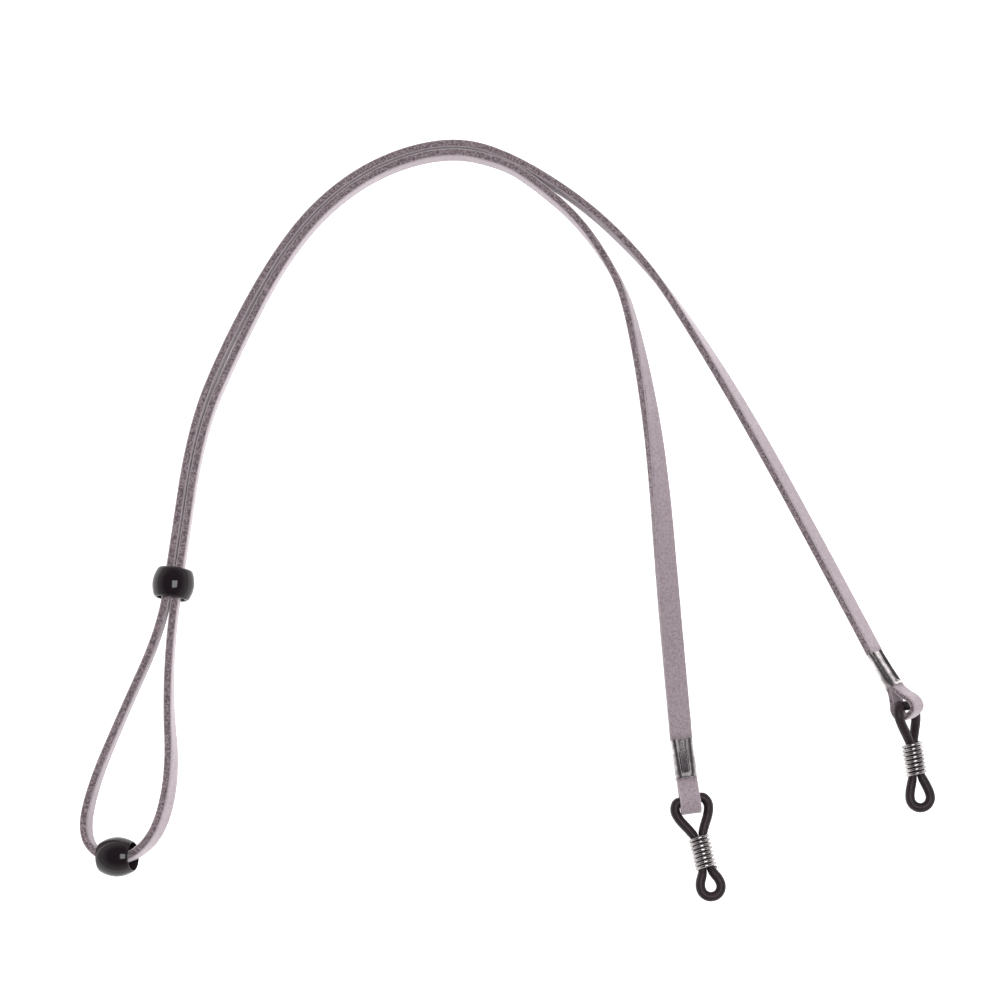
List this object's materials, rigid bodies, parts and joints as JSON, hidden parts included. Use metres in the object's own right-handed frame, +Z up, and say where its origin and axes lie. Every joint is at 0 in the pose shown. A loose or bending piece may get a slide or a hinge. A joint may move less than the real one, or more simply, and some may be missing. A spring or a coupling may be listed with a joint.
{
  "type": "eyeglass retainer strap",
  "caption": "Neck strap for glasses: a flat suede lace with a slider bead, an end bead and coil-gripped rubber temple loops.",
  "frame": {"origin": "on the table, under the middle of the beads, crimps, coils and rubber loops as the strap lies", "axes": "+Z up from the table; +Y from the rubber loops towards the bend behind the neck; +X towards the right end"},
  "size_m": [0.1682, 0.1537, 0.0084],
  "materials": {
    "suede": "matte napped",
    "bead_plastic": "glossy",
    "crimp_steel": "polished",
    "loop_rubber": "satin",
    "coil_steel": "polished"
  },
  "bodies": {
    "strap": {"lace_left_tail": "suede", "lace_inner_arc": "suede", "lace_inner_run": "suede", "lace_slip_loop": "suede", "lace_outer_run": "suede", "lace_outer_arc": "suede", "lace_right_tail": "suede", "lace_left_fold": "suede", "lace_right_fold": "suede", "left_crimp": "crimp_steel", "right_crimp": "crimp_steel"},
    "slider": {"slider_bead": "bead_plastic"},
    "end": {"end_bead": "bead_plastic"},
    "left_loop": {"left_rubber_loop": "loop_rubber"},
    "right_loop": {"right_rubber_loop": "loop_rubber"},
    "left_coil": {"left_coil_spring": "coil_steel"},
    "right_coil": {"right_coil_spring": "coil_steel"}
  },
  "joints": [
    {"name": "slider_slide", "type": "slide", "parent": "strap", "child": "slider", "axis": [0.1305, 0.9914, 0], "range_m": [0, 0.02]},
    {"name": "end_bead_travel", "type": "hinge", "parent": "strap", "child": "end", "pos_m": [-0.0781, -0.0174, 0.00405], "axis": [-0.309, 0, 0.9511], "range_deg": [-15, 15], "deforming": ["lace_slip_loop"]},
    {"name": "left_loop_swing", "type": "hinge", "parent": "strap", "child": "left_loop", "pos_m": [0.03414, -0.01336, 0.00229], "axis": [0.9736, 0.2284, 0.0004], "range_deg": [-90, 90]},
    {"name": "right_loop_swing", "type": "hinge", "parent": "strap", "child": "right_loop", "pos_m": [0.07677, 0.00517, 0.00391], "axis": [0.5893, 0.1653, -0.7908], "range_deg": [-90, 90]},
    {"name": "left_coil_slide", "type": "slide", "parent": "left_loop", "child": "left_coil", "axis": [0.2283, -0.9736, -0.0035], "range_m": [0, 0.003], "deforming": ["left_rubber_loop"]},
    {"name": "right_coil_slide", "type": "slide", "parent": "right_loop", "child": "right_coil", "axis": [0.1469, -0.9844, -0.0963], "range_m": [0, 0.003], "deforming": ["right_rubber_loop"]}
  ]
}
